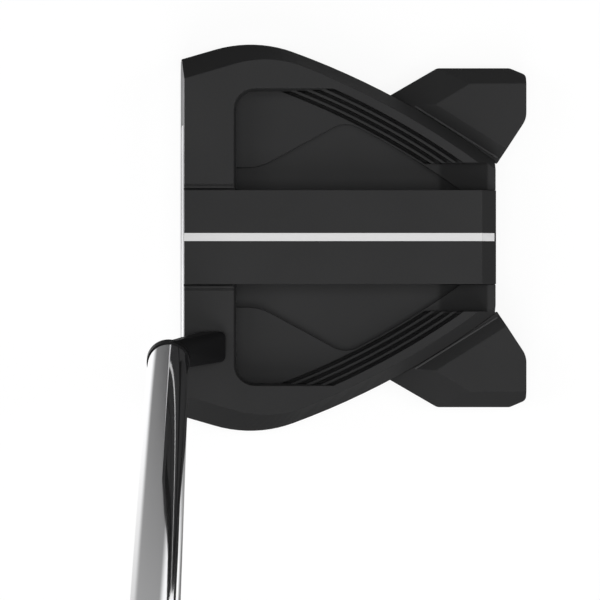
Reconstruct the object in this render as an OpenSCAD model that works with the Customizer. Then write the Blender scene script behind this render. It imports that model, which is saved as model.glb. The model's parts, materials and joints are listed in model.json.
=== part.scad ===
// Mallet putter: two-rail head with a centre beam, short slant neck, tapered shaft and wrapped grip.
// Millimetres. +X points to the heel, +Y to the rear, +Z up, and the flat sole stands on z = 0.
// Head pieces are drawn from the face's top edge (y = 0 there) and then moved to the origin.

/* [Head] */
// Height of the flat top above the ground
head_h = 25.4; // [25:0.1:28]
// Loft of the face in degrees back from upright
loft = 3; // [1:0.5:4]
// Depth of the front bar at the top
bar_d = 13.1; // [12.5:0.1:15]
// Depth of the frame from the face to its rear edge
frame_d = 82.1; // [79:0.1:86]
// Thickness of the sole plate
sole_t = 4; // [3.6:0.1:4.6]
// Width of the chamfer round the sole's edge
sole_chamfer = 3; // [1:0.1:4]
// Distance from the face's top edge back to the origin
origin_d = 42; // [36:0.5:48]

/* [Outline] */
// Half width of the flat top at the face
top_half = 41.7; // [41.2:0.1:43]
// Half width of the head at the face
foot_half = 47.7; // [46:0.1:49]
// Sideways spread of the front flanks for each millimetre of depth
flare = 0.29; // [0.2:0.01:0.34]
// Corner radius where the top's edge turns into the rail
top_corner_r = 28; // [20:0.5:32]
// Corner radius where the outline turns into the rail
foot_corner_r = 33; // [26:0.5:38]
// Height of the flanks' widest line at the front
flank_low_z = 6.5; // [5:0.1:9]
// Height of the flanks' widest line along the rails
flank_z = 14; // [11:0.1:17]

/* [Rails] */
// Radius of the outer edge of the rail's top
rail_r = 206.5; // [190:0.5:225]
// Distance of that edge from the sight line at the frame's rear edge
rail_tail = 16.1; // [15.6:0.1:17.4]
// Angle of that edge to the sight line at the frame's rear edge
rail_a = 37.7; // [36.7:0.1:38.5]
// Spread of the rail's outer flank from the top to its foot
flank_w = 3.1; // [2.2:0.1:4]
// Width of the rail's flat top
rail_w = 2.3; // [1.8:0.1:3]
// Number of steps down the rail's inner side
steps = 3; // [2:1:4]
// Width of each step
step_w = 1.6; // [1.4:0.05:1.9]
// Width of the slot at the foot of each riser
slot_w = 0.9; // [0.6:0.05:1]
// Depth of that slot
slot_d = 3.2; // [2.4:0.1:3.4]
// How far the rail is cut short at its rear end
rail_cut = 3.4; // [2.6:0.1:4]

/* [Pocket] */
// How far the pockets' outer walls lie inside the top's width at the face
pocket_in = 2.6; // [2:0.1:4]
// Radius of the pocket's front corner
pocket_r = 5.5; // [3:0.1:8]
// Depth of the upper floor below the top
pocket_d = 10; // [8:0.1:10.4]
// How far the pocket walls lean in at the upper floor
draft = 0.5; // [0.3:0.05:1]
// Depth of the lower floor below the upper one
dip_d = 2; // [1:0.1:2.4]
// Half width of the lower floor at the front bar
dip_half = 18.5; // [16:0.1:20]
// Distance from the face to where the lower floor widens
dip_y = 19.8; // [18:0.1:22]
// Sideways spread of the lower floor for each millimetre of depth
dip_flare = 0.542; // [0.45:0.001:0.6]
// Radius of the bend where the lower floor widens
dip_r = 13; // [9:0.5:15]
// Radius of the lower floor's widest corner, beside the lowest step
dip_top_r = 7; // [4:0.5:9]
// Width of the upper floor's strip along the lowest step
strip_w = 1.35; // [1:0.05:1.8]
// Radius at the foot of the ramp that rises to the rear lip
ramp_r = 9; // [6:0.5:12]
// Length of the floor behind the hollow underside
tail_l = 12.2; // [8:0.1:14]
// Thickness of the floor over the hollow underside
floor_t = 3; // [2.4:0.1:3.4]
// Thickness of the rear lip
lip_t = 2.3; // [1.5:0.1:3]
// Depth of the rear lip's top below the head's top
lip_drop = 5.5; // [4.5:0.1:7]

/* [Beam] */
// Width of the centre beam
beam_w = 24.74; // [22:0.02:26]
// Gap beside the beam where it crosses the front bar
beam_gap = 0.53; // [0.3:0.01:0.7]
// Width of the thin rib beyond that gap, and of the line beyond the rib
rib_w = 0.53; // [0.4:0.01:0.8]
// Depth of the line beyond the rib
rib_d = 0.8; // [0.4:0.1:1.2]
// How far the rib lies below the top
rib_drop = 0.15; // [0.05:0.05:0.3]
// Thickness of the beam's tongue over the front bar
tongue_t = 3.2; // [2.6:0.1:3.4]
// Wall thickness of the beam
beam_wall = 2.2; // [1.6:0.1:3]
// How far the beam reaches past the frame's rear edge
beam_over = 0.1; // [0:0.1:1]
// Length of the sloped rear end
slope_l = 3.8; // [2:0.1:5]
// Height of the sloped rear end
slope_h = 5.5; // [4:0.1:6.5]
// Width of the sight line
sight_w = 2.1; // [1.5:0.1:4]
// Depth of the sight line's inlay
sight_t = 0.6; // [0.4:0.1:1]
// Bare length left below the sight line on the rear slope
sight_end = 0.8; // [0.4:0.1:1.5]

/* [Wings] */
// Length of the wing's root along the frame's side
wing_l = 27.8; // [25:0.1:30]
// How far the wing's outer side stands out from the root's front end
wing_out = 7.3; // [6.4:0.1:8]
// How far the wings reach behind the frame
wing_back = 8.3; // [7:0.1:10]
// Height of the wing's flat top above the ground
wing_h = 15; // [14.6:0.1:16]
// Width of the outer sloped facet
wing_facet = 4.3; // [3.6:0.1:5]
// Height of the wing's side at the lower edge of its facets
wing_edge = 7; // [6:0.1:8]
// Slope of the facet that falls to the rail in degrees
inner_slope = 38; // [32:1:42]
// Depth of the ledge between that facet and the rail
ledge_d = 2.6; // [2:0.1:3.2]

/* [Face insert] */
// Length of the face insert
insert_w = 59.4; // [50:0.1:60]
// Height of the face insert
insert_h = 15.4; // [13:0.1:15.6]
// Depth of the insert's upper edge below the top
insert_drop = 4.6; // [4.4:0.1:5]
// Thickness of the insert
insert_t = 2.5; // [2:0.1:2.6]
// Corner radius of the insert
insert_r = 3; // [1:0.1:5]
// Thickness of the bond tape behind the insert
bond_t = 0.3; // [0.1:0.05:0.4]

/* [Weights] */
// Radius of a sole weight
weight_r = 5.5; // [4.8:0.1:5.7]
// Height of a sole weight
weight_h = 7.5; // [6.5:0.1:8]
// Distance of a weight's centre out from the rail's foot
weight_out = 10.8; // [10.5:0.1:11.2]
// Distance of a weight ahead of the frame's rear edge
weight_y = 4.6; // [4:0.1:5]
// How far the weights and screw heads lie inside the sole
sink = 0.4; // [0.2:0.1:0.8]
// Length of thread that holds a weight's screw
grip_thread = 5; // [4:0.1:5.4]
// Radius of the weight screw's head
cap_r = 3.5; // [3:0.1:4]
// Height of the weight screw's head
cap_h = 2.6; // [2:0.1:3]

/* [Fasteners] */
// Diameter of the small screws
small_d = 3; // [2.5:0.1:3.5]
// Length of the small screws
small_l = 10; // [8:0.5:11]
// Diameter of the large screws
large_d = 4; // [3.5:0.1:4.5]
// Length of the large screws
large_l = 19; // [17:0.5:20]
// Head diameter of a countersunk screw as a multiple of its own
head_ratio = 1.9; // [1.7:0.05:2]
// Clearance round screws, weights, pegs and posts
fit = 0.08; // [0.05:0.01:0.1]

/* [Neck] */
// Distance of the neck's foot inside the top's heel edge
neck_in = 12.85; // [12:0.05:14]
// Distance of the neck's foot behind the face
neck_y = 7.2; // [6.8:0.05:8]
// Width of the neck's foot, heel to toe
neck_w = 8.1; // [7.4:0.1:9]
// Depth of the neck's foot, front to rear
neck_d = 7.5; // [7.2:0.1:8.4]
// Corner radius of the neck's foot
neck_r = 1.6; // [0.8:0.1:2.5]
// Height of the neck's upright foot
foot_h = 2.6; // [1.5:0.1:4]
// Length of the collar below the shaft
collar_l = 2.6; // [2:0.1:3]
// How far the collar stands out from the shaft
collar_out = 0.3; // [0.2:0.05:0.5]
// Radius of the slanted body's upper end, below the collar
arm_r = 4.05; // [3.8:0.05:4.6]
// Distance of that end below the shaft's tip
arm_drop = 5.3; // [4.6:0.1:6]
// Radius of the peg in the head
peg_r = 3.3; // [3.1:0.05:3.4]
// Length of the peg in the head
peg_l = 11; // [8:0.1:12]
// Length of the post inside the shaft
post_l = 28; // [20:0.5:40]

/* [Shaft] */
// Overall length along the shaft from the ground to the grip's end
club_l = 864; // [820:1:920]
// Lie angle of the shaft in degrees from the ground
lie = 70; // [68:0.5:74]
// How far the shaft's tip stands out from the neck's foot
tip_out = 4.05; // [3:0.05:6]
// Distance of the shaft's axis ahead of the face's top edge
tip_ahead = 3.6; // [2:0.1:5]
// Height of the shaft's tip above the head's top
tip_rise = 23.6; // [20:0.1:27]
// Diameter of the shaft at its tip
tip_od = 10.7; // [10:0.05:11.5]
// Diameter of the shaft at its butt
butt_od = 15; // [14:0.1:15.6]
// Length of the tapered stretch
taper_l = 555; // [500:1:560]
// Wall thickness of the shaft
shaft_wall = 0.55; // [0.5:0.05:1]

/* [Grip] */
// Length of the grip without its mouth and cap
grip_l = 262; // [230:1:270]
// Diameter of the grip at its lower end
grip_low_d = 20.4; // [20:0.1:24]
// Width of the grip at its upper end
grip_w = 26; // [24:0.1:30]
// Distance of the flat front from the shaft's axis at the upper end
grip_front = 12.2; // [11:0.1:14]
// Distance of the back from the shaft's axis at the upper end
grip_back = 13; // [12:0.1:15]
// Extra swell of the back towards the upper end
pistol = 4.5; // [0:0.1:6]
// Share of the length below the swell
pistol_start = 0.5; // [0.3:0.05:0.7]
// Corner radius of the flat front at the upper end
front_r = 6; // [4:0.1:8]
// Thickness of the outer skin
skin_t = 1.1; // [0.8:0.05:1.2]
// Thickness of the tape under the grip
tape_t = 0.3; // [0.1:0.05:0.4]
// Length of the mouth ring
mouth_l = 9; // [6:0.5:14]
// Thickness of the butt cap
cap_t = 6; // [5:0.1:8]
// Width of the butt cap's rounded edge
cap_edge = 2.6; // [1:0.1:3]
// Diameter of the vent hole in the butt cap
vent_d = 4; // [3:0.1:6]

/* [Hidden] */
$fn = 64;

// Reach of a cutting shape past what it cuts, and the size of a cutting block
over = 1;
block = 200;
// Steps along the outline's corner, along its rail and round a small corner
corner_steps = 10;
rail_steps = 12;
round_steps = 6;

// Heights of the pocket's floors, the lip and the beam's tongue seat
floor_z = head_h - pocket_d;
dip_z = floor_z - dip_d;
lip_z = head_h - lip_drop;
tongue_z = head_h - tongue_t;
hollow_z = dip_z - floor_t;
step_h = pocket_d / (steps + 1);
// Centre of the rail arcs on the heel side, beyond the sight line and ahead of the face
rail_cx = rail_r * cos(rail_a) - rail_tail;
rail_cy = rail_r * sin(rail_a) - frame_d;
// Radii of the rail's foot, its lowest riser and the lower floor's edge
rail_foot_r = rail_r + flank_w;
riser_r = rail_r - rail_w - steps * step_w;
dip_edge_r = riser_r - strip_w;
// Distance from the sight line of the rail's rear end and the pocket's wall
rail_end = rail_tail + rail_cut;
pocket_half = top_half - pocket_in;
// The beam's half width, its front wall behind the front bar and its rear end
beam_half = beam_w / 2;
beam_front = bar_d + draft * (pocket_d + dip_d) / pocket_d + fit;
beam_d = frame_d + beam_over;
lip_front = frame_d - lip_t;
tail_front = lip_front - tail_l;
// Slope of the beam's rear end
slope_a = atan2(slope_h, slope_l);

// Distance from the sight line of a rail arc of radius r at depth y
function rail_x(r, y) = sqrt(r * r - pow(y + rail_cy, 2)) - rail_cx;
// Places beside the rail: out from its foot by p.x and ahead of the frame's rear edge by p.y
function beside_rail(p) = [rail_x(rail_foot_r, frame_d - p.y) + p.x, frame_d - p.y];

// Wing places beside the rail: tail, and the front and rear ends of its flat top's inner edge
tail_at = [-1.1, -0.1];
flat_front_at = [4.5, 15.65];
flat_rear_at = [5.75, -2.4];
// Wing on the heel side: root's front end, tail, the flat top's inner edge and the outer side
wing_front = beside_rail([0, wing_l]);
wing_tail = beside_rail(tail_at);
wing_top_front = beside_rail(flat_front_at);
wing_top_rear = beside_rail(flat_rear_at);
wing_half = wing_front.x + wing_out;
// Depths ahead of the wing's rear edge: its shoulder, its flat top's front corner and its outer side's end
wing_shoulder = 23.5;
wing_top_end = 14.8;
wing_side_end = 4.2;
// How far the rear edge's two ends lie inside the wing's outer side
wing_rear_in = [1.9, 13.7];
// Corner radii at the shoulder, the outer side's end and the rear edge's two ends
wing_r = [2.5, 2, 1.5, 6];

// Screw places on the heel side
bar_screw_in = 5.2;
rail_screw_y = 23.8;
screw_front_at = [5.8, 15.4];
screw_rear_at = [3.8, 1.6];
bar_screw = [top_half - bar_screw_in, bar_d / 2];
rail_screw = [rail_x(riser_r + step_w, frame_d - rail_screw_y), frame_d - rail_screw_y];
wing_screw_front = beside_rail(screw_front_at);
wing_screw_rear = beside_rail(screw_rear_at);
boss_r = large_d + floor_t / 3;
beam_screw_front = beam_front + beam_wall / 2 + boss_r;
beam_screw_rear = beam_d - slope_l - beam_wall / 2 - boss_r;
// Hexagon socket of a screw: radius over its corners and depth, as shares of the screw's diameter
hex_r = 0.32;
hex_d = 0.45;
// Hexagon socket of a weight's screw, as shares of its head's radius and height
cap_hex_r = 0.5;
cap_hex_d = 0.7;

// Sole weight: centre, counterbore height and the screw's ends
weight_c = beside_rail([weight_out, weight_y]);
weight_top = sink + weight_h;
cap_top = sink + cap_h + fit;
thread_top = weight_top + grip_thread;

// Neck's foot and shaft's tip: distance from the sight line
neck_x = top_half - neck_in;
tip_x = neck_x + tip_out;
// Shaft: tip height, radii and length
tip_r = tip_od / 2;
butt_r = butt_od / 2;
tip_z = head_h + tip_rise;
shaft_l = club_l - tip_z / sin(lie) - cap_t;
grip_z = shaft_l - grip_l;
// Rings along the grip, the roundness of its back and the share of the cap's edge that is steep
grip_rings = 16;
back_round = 0.98;
steep = 0.3;
// How far the sole plate stays inside the pieces above it
sole_edge = 0.4;
// Chamfer at the ground side of a weight
weight_chamfer = 0.5;

frame_colour = [0.17, 0.17, 0.18];
steel_colour = [0.62, 0.63, 0.65];

// Vector helpers and outlines with rounded corners, each corner given as x, y, radius
function unit(v) = v / norm(v);
function xy(p) = [p.x, p.y];
function blend(a, b, t) = a + (b - a) * t;
function polar(a) = [cos(a), sin(a)];
function arc(c, r, a0, a1, n) = [for (i = [0:n]) c + r * polar(blend(a0, a1, i / n))];
function turn(a) = a > 180 ? a - 360 : a < -180 ? a + 360 : a;
function bend(p, c, q) =
    let (
        a = unit(xy(p) - xy(c)),
        b = unit(xy(q) - xy(c)),
        half = acos(a * b) / 2,
        m = xy(c) + unit(a + b) * c[2] / sin(half),
        s = xy(c) + a * c[2] / tan(half) - m,
        e = xy(c) + b * c[2] / tan(half) - m,
        a0 = atan2(s.y, s.x)
    )
    arc(m, c[2], a0, a0 + turn(atan2(e.y, e.x) - a0), round_steps);
function rounded(c) =
    let (n = len(c))
    [for (i = [0:n - 1])
        let (pts = c[i][2] == 0 ? [xy(c[i])] : bend(c[(i + n - 1) % n], c[i], c[(i + 1) % n]))
        for (p = pts) p];
// Corners moved inwards by d, for an outline that runs anticlockwise
function inset(c, d) =
    let (n = len(c))
    [for (i = [0:n - 1])
        let (
            u = unit(xy(c[i]) - xy(c[(i + n - 1) % n])),
            v = unit(xy(c[(i + 1) % n]) - xy(c[i])),
            side = u.x * v.y - u.y * v.x > 0 ? 1 : -1,
            m = [-u.y - v.y, u.x + v.x] / (1 + u * v)
        )
        [c[i].x + d * m.x, c[i].y + d * m.y, c[i][2] == 0 ? 0 : max(0.05, c[i][2] - d * side)]];
function ring(pts, z) = [for (p = pts) [p.x, p.y, z]];

// Solid through a stack of rings of equal count, from the lowest to the highest
module skin(rings) {
    n = len(rings[0]);
    top = (len(rings) - 1) * n;
    sides = [for (k = [0:len(rings) - 2], i = [0:n - 1])
        let (a = k * n + i, b = a + n, d = k * n + (i + 1) % n, c = d + n)
        for (f = [[a, b, c], [a, c, d]]) f];
    polyhedron(
        points = [for (r = rings) for (p = r) p],
        faces = concat([[for (i = [0:n - 1]) i]], sides, [[for (i = [n - 1:-1:0]) top + i]])
    );
}

module both_sides() {
    children();
    mirror([1, 0, 0]) children();
}

// Head pieces are drawn from the face's top edge and moved to the origin here
module at_head() {
    translate([0, -origin_d, 0]) children();
}

// Frame of the face: z = 0 on its top edge, y = 0 on the face, y > 0 behind it
module at_face() {
    translate([0, 0, head_h]) rotate([-loft, 0, 0]) children();
}

// Frame of the shaft: z = 0 at its tip, +Z up the shaft
module at_shaft() {
    translate([tip_x, -tip_ahead, tip_z]) rotate([0, 90 - lie, 0]) children();
}

// Everything in front of the face
module ahead_of_face() {
    at_face() translate([-block / 2, -block, -block / 2]) cube(block);
}

// Head outline on the heel side: front flank, corner arc and rail arc
function corner_centre(half, r, rail) =
    let (
        k = 1 + flare * flare,
        q = half + rail_cx - flare * rail_cy - r * sqrt(k),
        y = (-q * flare + sqrt(pow(q * flare, 2) - k * (q * q - pow(rail - r, 2)))) / k
    )
    [q + flare * y, y];
function side_outline(half, r, rail) =
    let (
        c = corner_centre(half, r, rail),
        a = atan2(c.y, c.x),
        end = asin((frame_d + rail_cy) / rail),
        centre = [-rail_cx, -rail_cy],
        front = -head_h / 4
    )
    concat(
        [[half + flare * front, front]],
        arc(centre + c, r, -atan(flare), a, corner_steps),
        [for (i = [1:rail_steps]) centre + rail * polar(blend(a, end, i / rail_steps))]
    );
function outline(half, r, rail) =
    let (s = side_outline(half, r, rail))
    concat(s, [for (i = [len(s) - 1:-1:0]) [-s[i].x, s[i].y]]);

// Widest line of the flanks, which climbs from the front bar to the rails
function flank_line(pts) =
    [for (p = pts) [p.x, p.y, blend(flank_low_z, flank_z, min(1, max(0, 2 * (p.y - bar_d) / frame_d)))]];

// Round column about the heel side's rail centre
module rail_disc(r, z, h) {
    translate([-rail_cx, -rail_cy, z]) cylinder(r = r, h = h, $fn = 360);
}

// Space of one pocket above height z, with leaning walls
module pocket_space(z) {
    corners = [
        [-beam_half, bar_d, 0],
        [pocket_half, bar_d, pocket_r],
        [pocket_half, frame_d + over, 0],
        [-beam_half, frame_d + over, 0]
    ];
    lean = draft / pocket_d;
    skin([
        ring(rounded(inset(corners, lean * (head_h - z))), z),
        ring(rounded(inset(corners, -lean * over)), head_h + over)
    ]);
}

// Stepped hollow of the heel side's pocket, with a slot at the foot of each riser
module pocket_cut() {
    for (i = [0:steps]) {
        tread_z = head_h - (i + 1) * step_h;
        r = rail_r - rail_w - i * step_w;
        difference() {
            intersection() {
                pocket_space(tread_z);
                rail_disc(r, tread_z, head_h);
            }
            ramp(floor_z);
        }
        intersection() {
            pocket_space(tread_z - slot_d);
            difference() {
                rail_disc(r, tread_z - slot_d, slot_d + over);
                rail_disc(r - slot_w, tread_z - slot_d - over, block);
                translate([rail_end - fit - block, 0, 0]) cube(block);
            }
        }
    }
}

// Lower floor on the heel side: along the front bar, out along a bend, and back beside the lowest step
function dip_outline() =
    let (
        centre = [-rail_cx, -rail_cy],
        bar_y = bar_d + draft,
        start = [dip_half, dip_y],
        along = unit([dip_flare, 1]),
        inward = [-along.y, along.x],
        a = start + dip_top_r * inward - centre,
        slide = -a * along + sqrt(pow(a * along, 2) - a * a + pow(dip_edge_r - dip_top_r, 2)),
        corner = a + slide * along,
        turn_a = atan2(corner.y, corner.x),
        end_a = asin((lip_front + rail_cy) / dip_edge_r)
    )
    concat(
        [[-beam_half, bar_y], [dip_half, bar_y]],
        bend([dip_half, bar_y], [dip_half, dip_y, dip_r], start + along),
        arc(centre + corner, dip_top_r, atan2(-inward.y, -inward.x), turn_a, corner_steps),
        [for (i = [1:rail_steps]) centre + dip_edge_r * polar(blend(turn_a, end_a, i / rail_steps))],
        [[-beam_half, lip_front]]
    );

// Solid under the ramp that rises between the rails from a floor at height z to the rear lip
module ramp(z) {
    rise = (lip_z - z) / tail_l;
    rotate([90, 0, 90]) translate([0, 0, rail_end - block]) linear_extrude(block)
        polygon(concat(
            bend([0, z], [tail_front, z, ramp_r], [lip_front, lip_z]),
            [[lip_front + over, lip_z + over * rise], [lip_front + over, z - over], [tail_front - tail_l, z - over]]
        ));
}

// Lower floor beside the beam, and the space between the rail ends
module dip_cut() {
    mid_y = (dip_y + lip_front) / 2;
    difference() {
        translate([0, 0, dip_z]) linear_extrude(head_h) polygon(dip_outline());
        ramp(dip_z);
    }
    difference() {
        translate([0, mid_y, floor_z]) cube([rail_end, lip_front - mid_y, head_h]);
        ramp(floor_z);
    }
    translate([0, lip_front - over, lip_z]) cube([rail_end, lip_t + 2 * over, head_h]);
    translate([0, beam_front - fit, dip_z]) cube([beam_half + fit, block, head_h]);
}

// Channel across the front bar for the beam's tongue, with its rib and line
module tongue_channel() {
    far = bar_d + over;
    rib_x = beam_half + beam_gap;
    translate([0, -head_h / 2, tongue_z]) cube([rib_x, far + head_h / 2, head_h]);
    translate([rib_x - fit, -head_h / 2, head_h - rib_drop]) cube([rib_w + 2 * fit, far + head_h / 2, head_h]);
    translate([rib_x + rib_w, -head_h / 2, head_h - rib_d]) cube([rib_w, far + head_h / 2, head_h]);
}

// Hollow under the floor, with columns left for the beam's screws
module underside_hollow() {
    difference() {
        intersection() {
            translate([-over, bar_d + floor_t, sole_t - over])
                cube([pocket_half - floor_t, tail_front - bar_d - floor_t, hollow_z - sole_t + over]);
            rail_disc(riser_r - floor_t, 0, block);
        }
        for (y = [beam_screw_front, beam_screw_rear])
            translate([0, y, 0]) cylinder(r = boss_r, h = block);
    }
}

// Countersunk screw standing on its head, and the hole that takes it
module screw(d, l) {
    head_r = d * head_ratio / 2;
    difference() {
        union() {
            cylinder(r1 = head_r, r2 = d / 2, h = head_r - d / 2);
            cylinder(d = d, h = l);
        }
        translate([0, 0, -over]) cylinder(r = d * hex_r, h = over + d * hex_d, $fn = 6);
    }
}

module screw_hole(d, l) {
    head_r = d * head_ratio / 2 + fit;
    cylinder(r1 = head_r, r2 = d / 2 + fit, h = head_r - d / 2 - fit);
    translate([0, 0, -sink - over]) cylinder(r = head_r, h = sink + over);
    cylinder(r = d / 2 + fit, h = l + fit);
}

module frame_screw_places() {
    both_sides() for (p = [bar_screw, rail_screw]) translate([p.x, p.y, sink]) children();
}

module beam_screw_places() {
    for (y = [beam_screw_front, beam_screw_rear]) translate([0, y, sink]) children();
}

module wing_screw_places() {
    for (p = [wing_screw_front, wing_screw_rear]) translate([p.x, p.y, sink]) children();
}

module hosel_screw_place() {
    translate([neck_x, neck_y, sink]) children();
}

module head_frame() {
    color(frame_colour) at_head() difference() {
        skin([
            ring(outline(foot_half, foot_corner_r, rail_foot_r), sole_t),
            flank_line(outline(foot_half, foot_corner_r, rail_foot_r)),
            ring(outline(top_half, top_corner_r, rail_r), head_h)
        ]);
        ahead_of_face();
        both_sides() {
            pocket_cut();
            dip_cut();
            tongue_channel();
            underside_hollow();
        }
        insert_space(insert_t + bond_t, fit);
        translate([neck_x, neck_y, head_h - peg_l - fit]) cylinder(r = peg_r + fit, h = peg_l + over);
        frame_screw_places() screw_hole(small_d, small_l);
        beam_screw_places() screw_hole(large_d, large_l);
        hosel_screw_place() screw_hole(large_d, large_l);
    }
}

// Face insert's block, from the face to depth t, grown by g all round
module insert_space(t, g) {
    w = insert_w / 2 + g;
    low = -insert_drop - insert_h - g;
    high = -insert_drop + g;
    at_face() rotate([90, 0, 0]) translate([0, 0, -t]) linear_extrude(g > 0 ? t + over : t)
        polygon(rounded([
            [-w, low, insert_r + g],
            [w, low, insert_r + g],
            [w, high, insert_r + g],
            [-w, high, insert_r + g]
        ]));
}

module face_insert() {
    color([0.86, 0.87, 0.88]) at_head() insert_space(insert_t, 0);
}

module insert_tape() {
    color([0.75, 0.72, 0.6]) at_head() difference() {
        insert_space(insert_t + bond_t, 0);
        insert_space(insert_t, fit);
    }
}

// Wing corners on the heel side, run anticlockwise from inside the rail
function wing_corners() =
    let (
        rear_y = frame_d + wing_back,
        rake = wing_out / (rear_y - wing_shoulder - wing_front.y),
        root = wing_front - 2 * wing_facet * [1, 1 / rake]
    )
    [
        [root.x, root.y, 0],
        [wing_half, rear_y - wing_shoulder, wing_r[0]],
        [wing_half, rear_y - wing_side_end, wing_r[1]],
        [wing_half - wing_rear_in[0], rear_y, wing_r[2]],
        [wing_half - wing_rear_in[1], rear_y, wing_r[3]],
        [wing_tail.x, wing_tail.y, 0],
        [beam_half, wing_front.y, 0]
    ];

// Cuts what stands above a slope that falls to the left of the line from p to q, to depth d at most
module slope_cut(p, q, angle, d) {
    intersection() {
        translate([p.x, p.y, wing_h])
            rotate([0, 0, atan2(q.y - p.y, q.x - p.x)])
                rotate([-angle, 0, 0])
                    translate([-block / 2, 0, 0]) cube(block);
        translate([-block / 2, -block / 2, wing_h - d]) cube(block);
    }
}

module wing_block() {
    rear_y = frame_d + wing_back;
    top_corner = [wing_half - wing_facet, rear_y - wing_top_end];
    side_h = wing_h - wing_edge;
    edge = unit(wing_top_front - top_corner);
    reach = [wing_facet, wing_top_end - wing_shoulder] * [-edge.y, edge.x];
    difference() {
        translate([0, 0, sole_t]) linear_extrude(wing_h - sole_t) polygon(rounded(wing_corners()));
        rail_disc(rail_foot_r + fit, 0, block);
        slope_cut(top_corner, [top_corner.x, 0], atan2(side_h, wing_facet), wing_h);
        slope_cut(top_corner, wing_top_front, atan2(side_h, reach), wing_h);
        slope_cut(wing_top_front, wing_top_rear, inner_slope, ledge_d);
        translate([weight_c.x, weight_c.y, 0]) {
            cylinder(r = weight_r + fit, h = weight_top + fit);
            cylinder(r = large_d / 2 + fit, h = thread_top + fit);
        }
        wing_screw_places() screw_hole(small_d, small_l);
    }
}

module heel_wing() {
    color(frame_colour) at_head() wing_block();
}

module toe_wing() {
    color(frame_colour) at_head() mirror([1, 0, 0]) wing_block();
}

module sole_plate() {
    inner = sole_chamfer;
    edge = sole_edge;
    wing = wing_corners();
    color([0.2, 0.2, 0.21]) at_head() difference() {
        union() {
            skin([
                ring(outline(foot_half - inner, foot_corner_r - inner, rail_foot_r - inner), 0),
                ring(outline(foot_half - edge, foot_corner_r - edge, rail_foot_r - edge), sole_t / 2),
                ring(outline(foot_half - edge, foot_corner_r - edge, rail_foot_r - edge), sole_t)
            ]);
            both_sides() skin([
                ring(rounded(inset(wing, inner)), 0),
                ring(rounded(inset(wing, edge)), sole_t / 2),
                ring(rounded(inset(wing, edge)), sole_t)
            ]);
        }
        ahead_of_face();
        frame_screw_places() screw_hole(small_d, small_l);
        beam_screw_places() screw_hole(large_d, large_l);
        hosel_screw_place() screw_hole(large_d, large_l);
        both_sides() {
            wing_screw_places() screw_hole(small_d, small_l);
            translate([weight_c.x, weight_c.y, -over]) cylinder(r = weight_r + 3 * fit, h = block);
        }
    }
}

// Sight line from the face along the top and down the rear slope
module sight_shape() {
    end = slope_l - sight_end * cos(slope_a);
    drop = end * tan(slope_a);
    difference() {
        rotate([90, 0, 90]) translate([0, 0, -sight_w / 2]) linear_extrude(sight_w)
            polygon([
                [-over, head_h - sight_t],
                [beam_d - slope_l - sight_t * tan(slope_a / 2), head_h - sight_t],
                [beam_d - slope_l + end - sight_t * sin(slope_a), head_h - drop - sight_t * cos(slope_a)],
                [beam_d - slope_l + end, head_h - drop],
                [beam_d - slope_l, head_h],
                [-over, head_h]
            ]);
        ahead_of_face();
    }
}

module sight_line() {
    color([0.95, 0.95, 0.95]) at_head() sight_shape();
}

module centre_beam() {
    hollow_front = beam_front + beam_wall;
    hollow_rear = beam_d - slope_l - beam_wall;
    color(frame_colour) at_head() difference() {
        rotate([90, 0, 90]) translate([0, 0, -beam_half]) linear_extrude(beam_w)
            polygon([
                [-head_h / 4, tongue_z],
                [beam_front, tongue_z],
                [beam_front, dip_z],
                [beam_d, dip_z],
                [beam_d, head_h - slope_h],
                [beam_d - slope_l, head_h],
                [-head_h / 4, head_h]
            ]);
        ahead_of_face();
        difference() {
            translate([-beam_half + beam_wall, hollow_front, dip_z - over])
                cube([beam_w - 2 * beam_wall, hollow_rear - hollow_front, tongue_z - dip_z + over]);
            for (y = [beam_screw_front, beam_screw_rear])
                translate([0, y, 0]) cylinder(r = boss_r, h = block);
        }
        sight_shape();
        beam_screw_places() screw_hole(large_d, large_l);
    }
}

// Sole weight with its counterbore, chamfered at the ground side
module weight_puck() {
    chamfer = weight_chamfer;
    color(steel_colour) at_head() translate([weight_c.x, weight_c.y, sink]) difference() {
        union() {
            cylinder(r1 = weight_r - chamfer, r2 = weight_r, h = chamfer);
            translate([0, 0, chamfer]) cylinder(r = weight_r, h = weight_h - chamfer);
        }
        translate([0, 0, -over]) cylinder(r = cap_r + 3 * fit, h = cap_top - sink + over);
        cylinder(r = large_d / 2 + fit, h = block);
    }
}

// Weight screw with a hexagon socket
module weight_bolt() {
    color(steel_colour) at_head() translate([weight_c.x, weight_c.y, 0]) difference() {
        union() {
            translate([0, 0, sink]) cylinder(r = cap_r, h = cap_h);
            translate([0, 0, sink]) cylinder(r = large_d / 2, h = thread_top - sink);
        }
        translate([0, 0, sink - over]) cylinder(r = cap_r * cap_hex_r, h = cap_h * cap_hex_d + over, $fn = 6);
    }
}

module heel_weight() {
    weight_puck();
}

module toe_weight() {
    mirror([1, 0, 0]) weight_puck();
}

module heel_weight_screw() {
    weight_bolt();
}

module toe_weight_screw() {
    mirror([1, 0, 0]) weight_bolt();
}

module frame_screws() {
    color(steel_colour) at_head() frame_screw_places() screw(small_d, small_l);
}

module beam_screws() {
    color(steel_colour) at_head() beam_screw_places() screw(large_d, large_l);
}

module wing_screws() {
    color(steel_colour) at_head() both_sides() wing_screw_places() screw(small_d, small_l);
}

module hosel_screw() {
    color(steel_colour) at_head() hosel_screw_place() screw(large_d, large_l);
}

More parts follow.
